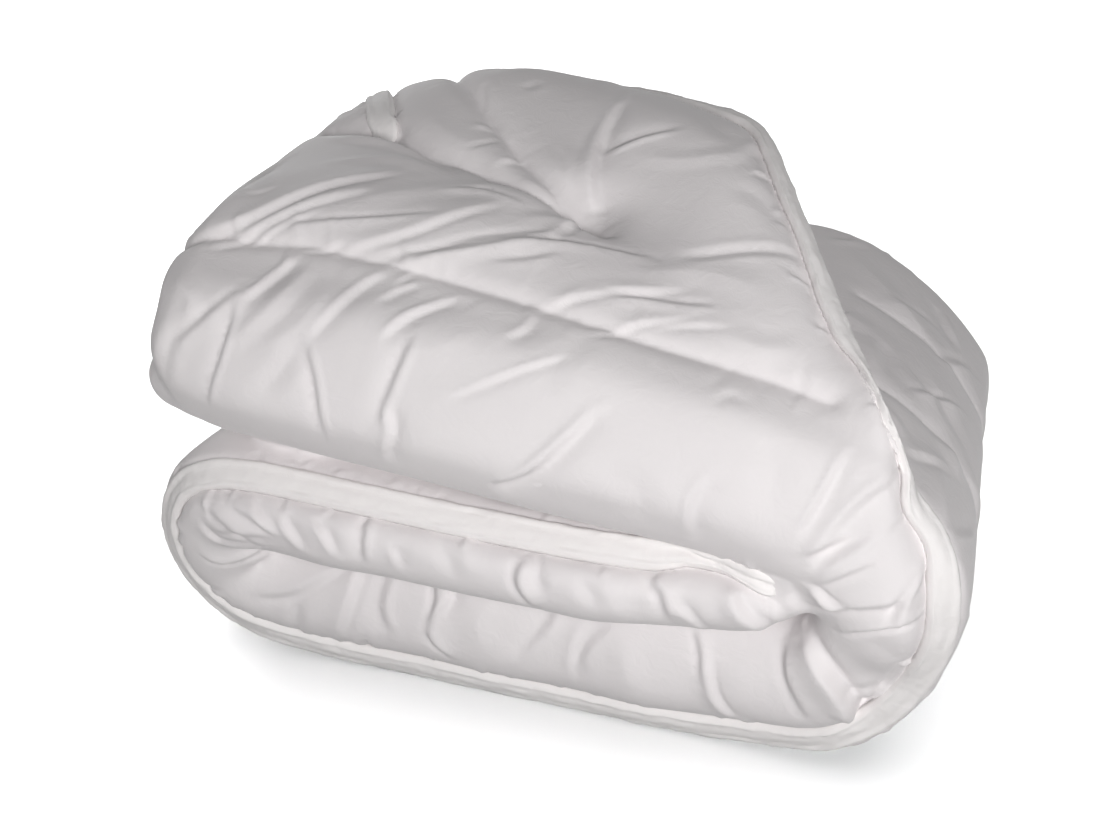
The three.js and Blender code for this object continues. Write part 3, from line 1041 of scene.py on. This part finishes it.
# Offset across the strip in mm, from the outer cover to the inner, and height over the skin
STRIP_PROFILE = (
    (4.6, -3.0),
    (4.0, -0.6),
    (3.2, 0.9),
    (1.6, 1.9),
    (0.0, 2.1),
    (-1.6, 1.6),
    (-3.2, 1.0),
    (-6.0, 1.6),
    (-9.5, 1.9),
    (-13.0, 1.6),
    (-15.0, 0.8),
    (-16.2, 1.2),
    (-17.4, 0.4),
    (-18.5, -3.0),
    (-19.2, -6.5),
)
# Its underside lies under the cover, so that no gap shows
STRIP_UNDERSIDE = (-14, -5, 1)
STRIP_SINK = -5.0

# At each end the strip narrows to END_WIDTH of its width over STRIP_END mm and sinks in
STRIP_CENTRE = -7.5
STRIP_END = 16.0
END_WIDTH = 0.3
END_SINK = 0.8

# How far the stitched strip is uneven, in mm
STRIP_UNEVENNESS = 0.9
# Painted light: the strip's two colours are the cover's percale painted a few levels lighter, to
# brighten the bound edge as if more light fell on it
PAINTED_LIGHT_STRIP_WHITE = "#F7F4F3"
PAINTED_LIGHT_STRIP_TONE = "#F0ECEB"


def bound_strip(name, tree, edge, seed):
    """A strip swept along an edge, each line of its profile following the skin below it."""
    spots, _, side = edge
    draw = np.random.default_rng(seed)
    uneven = STRIP_UNEVENNESS * averaged(draw.normal(0, 1, (len(spots), len(STRIP_PROFILE))), 3)
    station = np.arange(len(spots))
    from_end = np.minimum(station, station[::-1])[:, None] * PATH_STEP
    width = np.clip(from_end / STRIP_END, 0, 1) ** 0.5
    narrow = END_WIDTH + (1 - END_WIDTH) * width
    columns = []
    for number, (offset, height) in enumerate(STRIP_PROFILE):
        place = STRIP_CENTRE + (offset - STRIP_CENTRE) * narrow
        found, facing = on_skin(tree, spots + side * place)
        lift = height + uneven[:, number:number + 1] * (height > 0)
        lift = lift * width + STRIP_SINK * END_SINK * (1 - width)
        columns.append(averaged(found, 2) + unit(averaged(facing, 4)) * lift)
    for offset in STRIP_UNDERSIDE:
        place = STRIP_CENTRE + (offset - STRIP_CENTRE) * narrow
        found, facing = on_skin(tree, spots + side * place)
        columns.append(averaged(found, 2) + unit(averaged(facing, 4)) * STRIP_SINK)
    strip = closed_mesh(name, [np.stack(columns, 1)])
    strip.data.shade_smooth()
    # The strip's material carries that painted light: lighter colours of the same percale
    strip.data.materials.append(cotton_percale("cotton percale strip painted lighter", PAINTED_LIGHT_STRIP_WHITE, PAINTED_LIGHT_STRIP_TONE))
    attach(strip, "root")
    return strip


front_strip = bound_strip("bound_edge_front", tree, edges[0], 51)
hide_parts("edge_binding_front", "edge_binding_flap")
back_strip = bound_strip("bound_edge_back", tree, edges[1], 52)
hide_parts("edge_binding_back")

# Floor, lights and camera
# A matt white board so wide that no edge of it shows, and soft studio lights round it. The camera
# stands at the photograph's viewing angle. Places are in metres and powers in watts.

FLOOR = 30.0
FLOOR_WHITE = "#EDEDED"
mesh = bpy.data.meshes.new("floor")
floor_corners = [(-FLOOR, -FLOOR, 0), (FLOOR, -FLOOR, 0), (FLOOR, FLOOR, 0), (-FLOOR, FLOOR, 0)]
mesh.from_pydata(floor_corners, [], [(0, 1, 2, 3)])
floor = bpy.data.objects.new("floor", mesh)
bpy.context.scene.collection.objects.link(floor)
board = bpy.data.materials.new("matt white board")
board.use_nodes = True
board.node_tree.nodes["Principled BSDF"].inputs["Base Color"].default_value = srgb(FLOOR_WHITE)
floor.data.materials.append(board)
floor_only = bpy.data.collections.new("floor_only")
floor_only.objects.link(floor)

ROOM_WHITE = "#FFFFFF"
ROOM_STRENGTH = 0.15
bpy.context.scene.view_settings.view_transform = "Standard"
world = bpy.data.worlds.new("studio")
bpy.context.scene.world = world
world.use_nodes = True
world.node_tree.nodes["Background"].inputs["Color"].default_value = srgb(ROOM_WHITE)
world.node_tree.nodes["Background"].inputs["Strength"].default_value = ROOM_STRENGTH

CAMERA_AZIMUTH = math.radians(20)
CAMERA_ELEVATION = math.radians(26)
CAMERA_DISTANCE = 1.6
IMAGE_SIZE = (1100, 824)
FOCAL_PIXELS = 1950
SENSOR_WIDTH = 36
LOOK_AT = (np.array([0.0, 200.0, 180.0]) - ROLL_MIDDLE) * MM

camera = bpy.data.objects.new("camera", bpy.data.cameras.new("camera"))
bpy.context.scene.collection.objects.link(camera)
towards = Vector((
    math.sin(CAMERA_AZIMUTH) * math.cos(CAMERA_ELEVATION),
    -math.cos(CAMERA_AZIMUTH) * math.cos(CAMERA_ELEVATION),
    math.sin(CAMERA_ELEVATION),
))
camera.location = Vector(LOOK_AT) + towards * CAMERA_DISTANCE
camera.rotation_euler = (-towards).to_track_quat("-Z", "Y").to_euler()
camera.data.sensor_width = SENSOR_WIDTH
camera.data.lens = SENSOR_WIDTH * FOCAL_PIXELS / IMAGE_SIZE[0]
bpy.context.scene.camera = camera


LOW_AIM = (0, 0, 0.15)
MIDDLE_AIM = (0, 0, 0.2)


def area_light(name, place, aim, size, power):
    """A round softbox."""
    light = bpy.data.lights.new(name, "AREA")
    light.shape = "DISK"
    light.size = size
    light.energy = power
    lamp = bpy.data.objects.new(name, light)
    bpy.context.scene.collection.objects.link(lamp)
    lamp.location = place
    lamp.rotation_euler = (Vector(aim) - Vector(place)).to_track_quat("-Z", "Y").to_euler()
    return lamp


area_light("camera_side_softbox", (1.0, -1.94, 1.02), MIDDLE_AIM, size=0.7, power=33)
area_light("low_front_fill", (0.4, -1.7, 0.12), LOW_AIM, size=0.8, power=3.5)
area_light("back_left_softbox", (-1.7, 2.2, 0.7), MIDDLE_AIM, size=1.2, power=20)
area_light("back_right_softbox", (2.2, 1.7, 0.6), MIDDLE_AIM, size=1.0, power=4)
area_light("left_softbox", (-2.4, -0.4, 0.6), MIDDLE_AIM, size=1.0, power=5)

# A wide soft wash that lights only the floor, and keeps it white without a glare on the duvet
WASH_STRENGTH = 3.4
WASH_ANGLE = math.radians(70)
wash = bpy.data.objects.new("floor_wash", bpy.data.lights.new("floor_wash", "SUN"))
bpy.context.scene.collection.objects.link(wash)
wash.data.energy = WASH_STRENGTH
wash.data.angle = WASH_ANGLE
wash.location = (0, 0, 3)
wash.light_linking.receiver_collection = floor_only
floor.visible_diffuse = False
